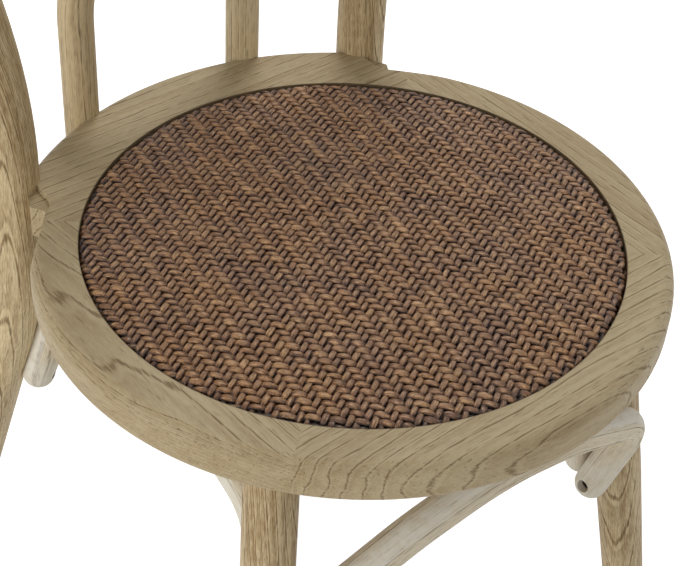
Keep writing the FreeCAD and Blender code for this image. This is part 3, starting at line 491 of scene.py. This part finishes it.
def oak_grain_group():
    """Ring porous wood in a solid: growth rings are bands of the distance from the tree's heart, bent by slow
    noise and shifted along the trunk by the taper, in rings per metre; pores are noise drawn out along the
    fibre, thick in the early growth; broad noise varies the tone."""
    tree, into, out = group(
        "oak grain",
        [("Fibre", "NodeSocketVector"), ("Heart", "NodeSocketVector"), ("Pale", "NodeSocketColor"),
         ("Brown", "NodeSocketColor"), ("Pore", "NodeSocketColor"), ("Ring width", "NodeSocketFloat"),
         ("Figure", "NodeSocketFloat"), ("Contrast", "NodeSocketFloat"), ("Taper", "NodeSocketFloat")],
        [("Color", "NodeSocketColor"), ("Roughness", "NodeSocketFloat"), ("Height", "NodeSocketFloat")])
    fibre, heart, pale, brown, pore, ring_width, figure, contrast, taper = into.outputs[:9]
    slow = noise(tree, stretch(tree, fibre, (7.0, 7.0, 1.6)), 1.0, 2.0, 0.5)
    wave = noise(tree, stretch(tree, fibre, (38.0, 38.0, 5.0), (3.1, 1.7, 0.4)), 1.0, 2.0, 0.5)
    place = put(tree, "ShaderNodeVectorMath", fibre, heart, operation="SUBTRACT").outputs[0]
    flat = stretch(tree, place, (1.0, 1.0, 0.0))
    far = put(tree, "ShaderNodeVectorMath", flat, operation="LENGTH").outputs["Value"]
    rings = calc(tree, "DIVIDE", far, ring_width)
    rings = calc(tree, "ADD", rings, calc(tree, "MULTIPLY", slow, figure))
    along = put(tree, "ShaderNodeSeparateXYZ", fibre).outputs[2]
    rings = calc(tree, "ADD", rings, calc(tree, "MULTIPLY", along, taper))
    rings = calc(tree, "ADD", rings, calc(tree, "MULTIPLY", wave, 1.9))
    year = calc(tree, "FRACT", rings)
    off_line = calc(tree, "ABSOLUTE", calc(tree, "SUBTRACT", year, 0.16))
    line = calc(tree, "SUBTRACT", 1.0, step_up(tree, off_line, 0.01, 0.10))
    before_end = calc(tree, "SUBTRACT", 1.0, step_up(tree, year, 0.93, 1.0))
    late = calc(tree, "MULTIPLY", step_up(tree, year, 0.25, 1.0), before_end)
    vessels = noise(tree, stretch(tree, fibre, (1000.0, 1000.0, 60.0)), 1.0, 1.5, 0.5)
    fine = noise(tree, stretch(tree, fibre, (1300.0, 1300.0, 130.0), (5.0, 2.0, 8.0)), 1.0, 3.0, 0.7)
    streak = noise(tree, stretch(tree, fibre, (190.0, 190.0, 6.0), (1.0, 9.0, 4.0)), 1.0, 3.0, 0.6)
    broad = noise(tree, stretch(tree, fibre, (22.0, 22.0, 6.0), (9.0, 4.0, 2.0)), 1.0, 2.0, 0.5)
    crowd = calc(tree, "MULTIPLY_ADD", line, 0.22, vessels)
    holes = step_up(tree, crowd, 0.63, 0.73)
    tone = calc(tree, "MULTIPLY_ADD", line, 0.42, calc(tree, "MULTIPLY", late, 0.26))
    tone = calc(tree, "ADD", tone, calc(tree, "MULTIPLY_ADD", streak, 1.1, -0.50))
    tone = calc(tree, "ADD", tone, calc(tree, "MULTIPLY_ADD", broad, 1.0, -0.40))
    tone = calc(tree, "ADD", tone, calc(tree, "MULTIPLY_ADD", fine, 1.5, -0.70))
    tone = calc(tree, "MULTIPLY", tone, contrast, clamp=True)
    colour = blend(tree, tone, pale, brown)
    colour = blend(tree, calc(tree, "MULTIPLY", holes, 0.56), colour, pore)
    tree.links.new(colour, out.inputs["Color"])
    rough = calc(tree, "MULTIPLY_ADD", holes, 0.16, calc(tree, "MULTIPLY_ADD", fine, 0.16, 0.48))
    tree.links.new(rough, out.inputs["Roughness"])
    height = calc(tree, "SUBTRACT", calc(tree, "MULTIPLY", fine, 0.35), holes)
    tree.links.new(height, out.inputs["Height"])
    return tree


def fine_grit_group():
    """Small speckle for metal and plastic: three noises of falling size, put out as a mask and a height."""
    tree, into, out = group(
        "fine grit", [("Place", "NodeSocketVector"), ("Scale", "NodeSocketFloat")],
        [("Mask", "NodeSocketFloat"), ("Height", "NodeSocketFloat")])
    place = put(tree, "ShaderNodeVectorMath", into.outputs[0], operation="SCALE")
    tree.links.new(into.outputs[1], place.inputs["Scale"])
    coarse = noise(tree, place.outputs[0], 1.0, 4.0, 0.65)
    small = noise(tree, place.outputs[0], 7.0, 2.0, 0.6)
    tree.links.new(step_up(tree, coarse, 0.35, 0.7), out.inputs["Mask"])
    tree.links.new(calc(tree, "MULTIPLY_ADD", small, 0.5, coarse), out.inputs["Height"])
    return tree


GROUPS = {}


def shared(name, maker):
    """The node group of that name, built the first time it is asked for."""
    if name not in GROUPS:
        GROUPS[name] = maker()
    return GROUPS[name]


def new_finish(name):
    """Empty material: its tree and its Principled shader."""
    finish = bpy.data.materials.new(name)
    finish.use_nodes = True
    tree = finish.node_tree
    shader = tree.nodes["Principled BSDF"]
    return finish, tree, shader


def bump(tree, shader, height, strength, distance):
    """Bump from a height, into the shader's normal."""
    node = put(tree, "ShaderNodeBump")
    node.inputs["Strength"].default_value = strength
    node.inputs["Distance"].default_value = distance
    tree.links.new(height, node.inputs["Height"])
    tree.links.new(node.outputs["Normal"], shader.inputs["Normal"])


def object_place(tree, turn=(0.0, 0.0, 0.0), move=(0.0, 0.0, 0.0)):
    """Object coordinates, moved and turned so that the fibre lies along the third axis."""
    coordinates = tree.nodes.new("ShaderNodeTexCoord").outputs["Object"]
    return put(tree, "ShaderNodeMapping", coordinates, move, turn, (1.0, 1.0, 1.0)).outputs[0]


def rod_place(tree):
    """Straightened coordinates of a bent rod."""
    return put(tree, "ShaderNodeAttribute", attribute_name="grain").outputs["Vector"]


def oak_finish(
        name, place, heart, figure=3.0, contrast=1.0, ring=1.0, pale=None, brown=None, taper=0.0):
    """Dry, washed oak with open pores, for one lie of the fibre; place builds the coordinates. Gives the
    material, its tree, its shader and its grain node."""
    look = bpy.context.scene.chair_oak
    finish, tree, shader = new_finish(name)
    grain = put(
        tree, "ShaderNodeGroup", place(tree), heart, pale or look.pale, brown or look.brown, look.pore,
        look.ring_width * ring, figure, contrast, taper, node_tree=shared("oak grain", oak_grain_group))
    tree.links.new(grain.outputs["Color"], shader.inputs["Base Color"])
    tree.links.new(grain.outputs["Roughness"], shader.inputs["Roughness"])
    shader.inputs["Specular IOR Level"].default_value = 0.32
    bump(tree, shader, grain.outputs["Height"], 0.45, 0.0005)
    return finish, tree, shader, grain


def washed_and_highlighted_finish(name, heart, middle, half):
    """Oak of the arches: the same grain, paler, with a painted highlight in the whitewash colour: a band
    round the angle middle (in turns of the rod's section), half as wide each way, broken up along its edges;
    the low ends of the arches take the whitewash as well."""
    look = bpy.context.scene.chair_oak
    finish, tree, shader, grain = oak_finish(
        name, rod_place, heart, figure=2.0, contrast=1.1, ring=0.8, pale=paint(218, 206, 180),
        brown=paint(170, 150, 118))
    # the band round the middle angle is a painted highlight on one side of the rod
    place = rod_place(tree)
    parts = put(tree, "ShaderNodeSeparateXYZ", place)
    angle = calc(tree, "DIVIDE", calc(tree, "ARCTAN2", parts.outputs[1], parts.outputs[0]), math.tau)
    off = calc(tree, "ABSOLUTE", calc(tree, "WRAP", calc(tree, "SUBTRACT", angle, middle), 0.5, -0.5))
    torn = noise(tree, stretch(tree, place, (420.0, 420.0, 14.0)), 1.0, 3.0, 0.65)
    off = calc(tree, "MULTIPLY_ADD", torn, 0.12, off)
    band = calc(tree, "SUBTRACT", 1.0, step_up(tree, off, half, half + 0.07))
    # the low ends of the arches take the whitewash, joined to the painted highlight band
    height = put(tree, "ShaderNodeSeparateXYZ", object_place(tree)).outputs[2]
    foot = calc(tree, "SUBTRACT", 1.0, step_up(tree, height, 0.262, 0.300))
    cloud = step_up(tree, noise(tree, object_place(tree), 85.0, 3.0, 0.65), 0.30, 0.62)
    band = calc(tree, "MAXIMUM", band, calc(tree, "MULTIPLY", foot, 0.8))
    band = calc(tree, "MULTIPLY", band, calc(tree, "MULTIPLY_ADD", cloud, 0.45, 0.38))
    colour = blend(tree, band, grain.outputs["Color"], look.wash_and_highlight)
    tree.links.new(colour, shader.inputs["Base Color"])
    return finish


def strand_finish(name, tone, dark, greyer):
    """Rattan strand: its tone changes from strand to strand and from float to float, fine fibres run along it
    with pale painted glints, painted shade darkens the sides and the places that dip, a painted highlight
    lightens the tops, and the skin has a dull polish."""
    finish, tree, shader = new_finish(name)
    tones = put(tree, "ShaderNodeSeparateXYZ", put(
        tree, "ShaderNodeAttribute", attribute_name="tone").outputs["Vector"]).outputs
    run = put(tree, "ShaderNodeAttribute", attribute_name="run").outputs["Vector"]
    place = object_place(tree)
    fibres = noise(tree, stretch(tree, run, (230.0, 860.0, 40.0)), 1.0, 3.0, 0.8)
    specks = noise(tree, place, 560.0, 3.0, 0.8)
    patches = noise(tree, place, 19.0, 2.0, 0.5)
    colour = blend(tree, step_up(tree, patches, 0.38, 0.66), tone, greyer)
    lively = calc(tree, "MULTIPLY_ADD", tones[1], 0.75, calc(tree, "MULTIPLY", tones[0], 0.35))
    colour = blend(tree, calc(tree, "MULTIPLY", step_up(tree, lively, 0.5, 1.1), 0.75), colour, dark)
    pale = calc(tree, "MULTIPLY", step_up(tree, tones[1], 0.60, 0.98), 0.6)
    colour = blend(tree, pale, colour, paint(190, 146, 100))
    colour = blend(tree, calc(tree, "MULTIPLY", step_up(tree, fibres, 0.49, 0.58), 0.9), colour, dark)
    colour = blend(tree, calc(tree, "MULTIPLY", step_up(tree, specks, 0.54, 0.62), 0.65), colour, dark)
    glint = calc(tree, "MULTIPLY", calc(tree, "SUBTRACT", 1.0, step_up(tree, fibres, 0.36, 0.44)), 0.75)
    colour = blend(tree, glint, colour, paint(210, 170, 126))
    # painted highlight: the tops of the strands are made paler
    painted_top_highlight = calc(tree, "MULTIPLY", step_up(tree, tones[2], 0.90, 1.0), 0.26)
    colour = blend(tree, painted_top_highlight, colour, paint(200, 155, 109))
    # painted shade: the low sides and the dips of the strands are darkened nearly to black
    low = calc(tree, "SUBTRACT", 1.0, step_up(tree, tones[2], 0.60, 0.96))
    colour = blend(tree, calc(tree, "MULTIPLY", low, 0.95), colour, paint(24, 13, 8))
    tree.links.new(colour, shader.inputs["Base Color"])
    tree.links.new(calc(tree, "MULTIPLY_ADD", fibres, 0.35, 0.22), shader.inputs["Roughness"])
    shader.inputs["Specular IOR Level"].default_value = 0.45
    bump(tree, shader, fibres, 0.8, 0.0007)
    return finish


def grit_finish(name, tone, tone_2, scale, metallic, rough, spread):
    """Metal or plastic with a fine speckle in its colour, roughness and surface."""
    finish, tree, shader = new_finish(name)
    grit = put(tree, "ShaderNodeGroup", node_tree=shared("fine grit", fine_grit_group))
    tree.links.new(object_place(tree), grit.inputs[0])
    grit.inputs[1].default_value = scale
    tree.links.new(blend(tree, grit.outputs["Mask"], tone, tone_2), shader.inputs["Base Color"])
    uneven = calc(tree, "MULTIPLY_ADD", grit.outputs["Mask"], spread, rough)
    tree.links.new(uneven, shader.inputs["Roughness"])
    shader.inputs["Metallic"].default_value = metallic
    bump(tree, shader, grit.outputs["Height"], 0.15, 0.0002)
    return finish


def dress(node, finish):
    """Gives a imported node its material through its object's slots; the mesh stays as it is."""
    body = NODES[node]
    for place in body.material_slots:
        place.link = "OBJECT"
        place.material = finish


# the stage


FLOOR_REACH = 9.0
# each lamp's name, place, power in watts and width
LAMPS = (
    ("key lamp", (0.7, 0.8, 2.3), 15.5, 0.6), ("side lamp", (1.9, -1.2, 1.3), 6.0, 1.2),
    ("left lamp", (-2.4, 0.2, 0.9), 23.0, 1.0), ("front lamp", (-1.5, -1.7, 1.3), 8.0, 1.2))


def seen_directly(tree):
    """1 for camera, glossy and transmission rays, 0 for the rays that carry light."""
    path = tree.nodes.new("ShaderNodeLightPath")
    seen = calc(tree, "MAXIMUM", path.outputs["Is Camera Ray"], path.outputs["Is Glossy Ray"])
    return calc(tree, "MAXIMUM", seen, path.outputs["Is Transmission Ray"])


def lay_floor(scene, tone):
    """Wide floor that takes the chair's shadow and looks white, by a glow that grows away from the chair."""
    corners = ((-1, -1), (1, -1), (1, 1), (-1, 1))
    mesh = bpy.data.meshes.new("floor")
    mesh.from_pydata([(x * FLOOR_REACH, y * FLOOR_REACH, 0.0) for x, y in corners], [], [(0, 1, 2, 3)])
    floor = bpy.data.objects.new("floor", mesh)
    scene.collection.objects.link(floor)
    finish, tree, shader = new_finish("pale floor")
    shader.inputs["Base Color"].default_value = tone
    shader.inputs["Roughness"].default_value = 0.9
    shader.inputs["Specular IOR Level"].default_value = 0.0
    shader.inputs["Emission Color"].default_value = (1.0, 1.0, 1.0, 1.0)
    far = put(tree, "ShaderNodeVectorMath", object_place(tree), operation="LENGTH").outputs["Value"]
    glow = calc(tree, "MULTIPLY_ADD", step_up(tree, far, 0.5, 1.6), 0.45, 0.58)
    tree.links.new(calc(tree, "MULTIPLY", seen_directly(tree), glow), shader.inputs["Emission Strength"])
    mesh.materials.append(finish)


def light_surroundings(scene):
    """Even dim light from all round, which looks white where it is seen directly."""
    world = bpy.data.worlds.new("studio white")
    scene.world = world
    world.use_nodes = True
    tree = world.node_tree
    sky = tree.nodes["Background"]
    sky.inputs["Color"].default_value = (1.0, 1.0, 1.0, 1.0)
    tree.links.new(calc(tree, "MULTIPLY_ADD", seen_directly(tree), 0.63, 0.37), sky.inputs["Strength"])


def hang_lamps(scene):
    """Round lamps, each aimed at the middle of the seat."""
    for name, place, power, width in LAMPS:
        lamp = bpy.data.lights.new(name, "AREA")
        lamp.energy, lamp.size, lamp.shape = power, width, "DISK"
        holder = bpy.data.objects.new(name, lamp)
        scene.collection.objects.link(holder)
        holder.location = place
        aim = Vector((0.0, SEAT_Y, RING_TOP)) - Vector(place)
        holder.rotation_euler = aim.to_track_quat("-Z", "Y").to_euler()


def place_camera(scene, look):
    """Camera in front of the seat and above it, aimed a little off its middle, turned round the chair."""
    cam = bpy.data.cameras.new("camera")
    cam.sensor_width, cam.lens = 36.0, look.lens
    cam.clip_start, cam.clip_end = 0.02, 100.0
    holder = bpy.data.objects.new("camera", cam)
    scene.collection.objects.link(holder)
    place = look.distance * Vector((0.0, -math.cos(look.elevation), math.sin(look.elevation)))
    ahead, right = -place.normalized(), Vector((1.0, 0.0, 0.0))
    up = right.cross(ahead)
    swing = Matrix.Rotation(look.swing, 3, up)
    ahead, right = swing @ ahead, swing @ right
    nod = Matrix.Rotation(look.nod, 3, right)
    ahead, up = nod @ ahead, nod @ up
    roll = Matrix.Rotation(look.roll, 3, ahead)
    right, up = roll @ right, roll @ up
    turn = Matrix.Rotation(-look.azimuth, 3, "Z")
    pose = Matrix((turn @ right, turn @ up, turn @ -ahead)).transposed().to_4x4()
    pose.translation = turn @ place + Vector((0.0, SEAT_Y, RING_TOP))
    holder.matrix_world = pose
    scene.camera = holder


# operators


class CHAIR_OT_stage(bpy.types.Operator):
    """Lays the floor, sets the lamps and the white surroundings, and places the camera"""
    bl_idname = "chair.stage"
    bl_label = "Stage"

    def execute(self, context):
        look = context.scene.chair_stage
        lay_floor(context.scene, look.floor_tone)
        light_surroundings(context.scene)
        hang_lamps(context.scene)
        place_camera(context.scene, look)
        context.scene.view_settings.view_transform = "Standard"
        return {"FINISHED"}


class CHAIR_OT_seat_pad(bpy.types.Operator):
    """Makes the dark crowned pad that shows between the strands"""
    bl_idname = "chair.seat_pad"
    bl_label = "Seat pad"

    def execute(self, context):
        finish, tree, shader = new_finish("dark under cloth")
        cells = noise(tree, object_place(tree), 900.0, 3.0, 0.6)
        tree.links.new(
            blend(tree, step_up(tree, cells, 0.35, 0.7), paint(40, 26, 19), paint(66, 45, 33)),
            shader.inputs["Base Color"])
        shader.inputs["Roughness"].default_value = 0.9
        bump(tree, shader, cells, 0.5, 0.0005)
        pad = add_piece("seat_pad", mesh_from("seat_pad", *pad_shell()), finish)
        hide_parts("seat_foam_pad")
        return {"FINISHED"}


class CHAIR_OT_weave(bpy.types.Operator):
    """Weaves the seat: rows that float over two columns, and columns that rise over one row in three"""
    bl_idname = "chair.weave"
    bl_label = "Woven seat"

    def execute(self, context):
        weave = context.scene.chair_weave
        own = ACROSS_ROWS / np.linalg.norm(ACROSS_ROWS) / weave.row_pitch
        other = ACROSS_COLUMNS / np.linalg.norm(ACROSS_COLUMNS) / weave.column_pitch
        dark = paint(66, 40, 25)
        jobs = (
            ("weave_rows", own, other, True, weave.row_half_width, 0.00166, 8,
             strand_finish("rattan rows", weave.row_tone, dark, paint(131, 93, 67))),
            ("weave_columns", other, own, False, weave.column_half_width, 0.0016, 7,
             strand_finish("rattan columns", weave.column_tone, dark, paint(120, 89, 73))))
        for name, along, across, rows, half_width, step, sides, finish in jobs:
            points, faces, tones, runs = strands(weave, along, across, rows, half_width, step, sides)
            mesh = mesh_from(name, points, faces)
            write_vectors(mesh, "tone", tones)
            write_vectors(mesh, "run", runs)
            piece = add_piece(name, mesh, finish)
            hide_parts("woven_rattan_cover")
        return {"FINISHED"}


class CHAIR_OT_seat_ring(bpy.types.Operator):
    """Finishes the four sawn rails of the seat ring, with the grain straight along each and painted shade on
    the wall of the opening
    """
    bl_idname = "chair.seat_ring"
    bl_label = "Seat ring"

    def execute(self, context):
        quarter = math.pi / 2
        for node, turn, move, heart, ring, taper in (
                ("seat_rail_front", (0.0, -quarter, 0.0), (0.0, 0.0, 0.3), (-0.43, -0.80, 0.0), 1.25, 0.0),
                ("seat_rail_right", (quarter, 0.0, 0.0), (0.5, 0.0, 1.3), (0.300, -0.36, 0.0), 0.42, 7.0),
                ("seat_rail_left", (quarter, 0.0, 0.0), (0.0, 0.3, 2.6), (0.75, -0.30, 0.0), 1.25, 0.0),
                ("seat_rail_rear", (0.0, -quarter, 0.0), (0.0, 0.7, 3.9), (-0.30, 0.60, 0.0), 1.25, 0.0)):
            finish, tree, shader, grain = oak_finish(
                "ring oak " + node[10:], lambda tree, t=turn, m=move: object_place(tree, t, m), heart,
                figure=5.0, ring=ring, taper=taper)
            # painted shade: the wall of the opening is darkened to a dull brown, standing in for the shadow
            # in the gap between the woven seat and the ring
            flat = stretch(tree, object_place(tree), (1.0, 1.0, 0.0), (0.0, -SEAT_Y, 0.0))
            far = put(tree, "ShaderNodeVectorMath", flat, operation="LENGTH").outputs["Value"]
            painted_wall_shade = calc(tree, "SUBTRACT", 1.0, step_up(tree, far, OPENING, OPENING + 0.0008))
            painted_wall_shade = calc(tree, "MULTIPLY", painted_wall_shade, 0.75)
            colour = blend(tree, painted_wall_shade, grain.outputs["Color"], paint(84, 68, 48))
            tree.links.new(colour, shader.inputs["Base Color"])
            dress(node, finish)
        return {"FINISHED"}


class CHAIR_OT_front_legs(bpy.types.Operator):
    """Finishes the two turned front legs, with the grain along their splay"""
    bl_idname = "chair.front_legs"
    bl_label = "Front legs"

    def execute(self, context):
        for node, side in (("front_leg_left", 1.0), ("front_leg_right", -1.0)):
            foot = Vector((LEG_FOOT[0] * side, LEG_FOOT[1], LEG_FOOT[2]))
            top = Vector((LEG_TOP[0] * side, LEG_TOP[1], LEG_TOP[2]))
            turn = (top - foot).rotation_difference(Vector((0.0, 0.0, 1.0)))
            move = -(turn @ foot)
            finish = oak_finish(
                "leg oak " + node[10:],
                lambda tree, t=tuple(turn.to_euler()), m=tuple(move): object_place(tree, t, m),
                (0.03 * side, 0.02, 0.0), figure=2.5, contrast=1.5, ring=0.7, taper=20.0,
                pale=paint(202, 182, 144), brown=paint(134, 107, 68))[0]
            dress(node, finish)
        return {"FINISHED"}


class CHAIR_OT_back(bpy.types.Operator):
    """Makes the two posts and the top bow of the back, with the grain bent along them"""
    bl_idname = "chair.back"
    bl_label = "Back"

    def execute(self, context):
        for name, node, heart in (
                ("oak_post_left", "rear_post_left", (0.028, 0.014, 0.0)),
                ("oak_post_right", "rear_post_right", (0.028, 0.036, 0.0)),
                ("oak_bow", "back_bow", (0.012, -0.030, 0.0))):
            finish = oak_finish(
                name + " finish", rod_place, heart, figure=3.2, contrast=1.35, ring=0.45, taper=17.0,
                pale=paint(214, 194, 153), brown=paint(144, 118, 79))[0]
            rod_copy(name, node, BACK_ROUTE, BACK_BENDS, (0.0, 1.0, 0.0), finish)
        return {"FINISHED"}


class CHAIR_OT_cross(bpy.types.Operator):
    """Makes the two bent rods of the cross"""
    bl_idname = "chair.cross"
    bl_label = "Cross rods"

    def execute(self, context):
        route = np.array(CROSS_ROUTE)
        behind = route + ((0, 0, 0), (0, 0, 0), (0, CROSS_BEHIND, 0), (0, 0, 0))
        for name, node, line, mirror, heart, pale, brown in (
                ("oak_cross_left", "cross_rod_left", route, False, (0.022, 0.010, 0.0),
                 paint(222, 203, 164), paint(170, 146, 105)),
                ("oak_cross_right", "cross_rod_right", behind, True, (-0.02, 0.018, 0.0),
                 paint(196, 176, 138), paint(138, 114, 78))):
            finish = oak_finish(
                name + " finish", rod_place, heart, figure=2.0, contrast=1.1, ring=0.7,
                pale=pale, brown=brown)[0]
            rod_copy(name, node, line, CROSS_BENDS, (0.0, 1.0, 0.0), finish, mirror)
        return {"FINISHED"}


class CHAIR_OT_arches(bpy.types.Operator):
    """Makes the four arched braces under the seat, with a painted highlight on one side of each and whitewash
    on their low ends
    """
    bl_idname = "chair.arches"
    bl_label = "Arch braces"

    def execute(self, context):
        for place, route, bends, side, mirror, middle in (
                ("front", FRONT_ARCH, FRONT_ARCH_BENDS, (0, 1, 0), False, -0.31),
                ("rear", REAR_ARCH, LONG_ARCH_BENDS, (0, 1, 0), False, 0.10),
                ("left", SIDE_ARCH, LONG_ARCH_BENDS, (1, 0, 0), False, 0.0),
                ("right", SIDE_ARCH, LONG_ARCH_BENDS, (1, 0, 0), True, 0.5)):
            name, node = "washed_highlighted_arch_" + place, "arch_brace_" + place
            finish = washed_and_highlighted_finish(name + " finish", (0.021, -0.016, 0.0), middle, 0.12)
            rod_copy(name, node, route, bends, side, finish, mirror)
        return {"FINISHED"}


class CHAIR_OT_fittings(bpy.types.Operator):
    """Finishes the board, the dowels, the screws and bolts, and the foot glides"""
    bl_idname = "chair.fittings"
    bl_label = "Board and fittings"

    def execute(self, context):
        steel = grit_finish(
            "zinc plated steel", paint(176, 178, 180), paint(142, 144, 148), 900.0, 1.0, 0.26, 0.2)
        dark = grit_finish("blackened steel", paint(66, 62, 58), paint(44, 40, 36), 700.0, 0.9, 0.38, 0.2)
        glide = grit_finish("felt grey plastic", paint(70, 66, 60), paint(52, 48, 44), 1600.0, 0.0, 0.5, 0.25)
        for node in (
                "seat_board_screws", "cross_center_screw", "cross_rod_seat_screws",
                "cross_rod_top_screws", "rear_post_barrel_nuts", "rear_post_bolts"):
            dress(node, steel)
        dress("brace_foot_screws", dark)
        dress("foot_glides", glide)
        beech = oak_finish(
            "dowel beech", object_place, (0.2, 0.1, 0.0), figure=1.0, contrast=0.7, ring=0.3,
            pale=paint(206, 178, 138), brown=paint(180, 146, 104))[0]
        dress("seat_rail_dowels", beech)
        dress("back_bow_dowels", beech)
        board, tree, shader, grain = oak_finish(
            "birch plywood",
            lambda tree: object_place(tree, (0.0, -math.pi / 2, 0.0), (0.4, 0.2, 0.0)), (0.1, 0.9, 0.0),
            figure=6.0, contrast=0.8, ring=2.0, pale=paint(212, 188, 148), brown=paint(184, 154, 112))
        height = put(tree, "ShaderNodeSeparateXYZ", object_place(tree)).outputs[2]
        ply = calc(tree, "PINGPONG", calc(tree, "MULTIPLY", height, 1000.0), 1.3)
        glue = calc(tree, "SUBTRACT", 1.0, step_up(tree, ply, 0.02, 0.35))
        upward = put(tree, "ShaderNodeSeparateXYZ", tree.nodes.new("ShaderNodeNewGeometry").outputs["Normal"])
        side = calc(tree, "SUBTRACT", 1.0, calc(tree, "ABSOLUTE", upward.outputs[2]), clamp=True)
        colour = blend(tree, calc(tree, "MULTIPLY", glue, side), grain.outputs["Color"], paint(112, 82, 54))
        tree.links.new(colour, shader.inputs["Base Color"])
        dress("seat_board", board)
        return {"FINISHED"}


class CHAIR_PT_panel(bpy.types.Panel):
    """Lists the chair's sizes and steps"""
    bl_label = "Cross back chair"
    bl_idname = "CHAIR_PT_panel"
    bl_space_type = "VIEW_3D"
    bl_region_type = "UI"
    bl_category = "Chair"

    def draw(self, context):
        scene = context.scene
        for title, settings in (
                ("Weave", scene.chair_weave), ("Oak", scene.chair_oak), ("Stage", scene.chair_stage)):
            box = self.layout.box()
            box.label(text=title)
            for key in settings.__annotations__:
                box.prop(settings, key)
        for operator in STEPS:
            self.layout.operator(operator.bl_idname)


STEPS = (
    CHAIR_OT_stage, CHAIR_OT_seat_pad, CHAIR_OT_weave, CHAIR_OT_seat_ring, CHAIR_OT_front_legs, CHAIR_OT_back,
    CHAIR_OT_cross, CHAIR_OT_arches, CHAIR_OT_fittings)
CLASSES = (WeaveSettings, OakSettings, StageSettings) + STEPS + (CHAIR_PT_panel,)


def register():
    for cls in CLASSES:
        bpy.utils.register_class(cls)
    bpy.types.Scene.chair_weave = bpy.props.PointerProperty(type=WeaveSettings)
    bpy.types.Scene.chair_oak = bpy.props.PointerProperty(type=OakSettings)
    bpy.types.Scene.chair_stage = bpy.props.PointerProperty(type=StageSettings)


def unregister():
    del bpy.types.Scene.chair_weave, bpy.types.Scene.chair_oak, bpy.types.Scene.chair_stage
    for cls in reversed(CLASSES):
        bpy.utils.unregister_class(cls)


def main():
    register()
    for step in STEPS:
        area, verb = step.bl_idname.split(".")
        getattr(getattr(bpy.ops, area), verb)()


if __name__ == "__main__":
    main()
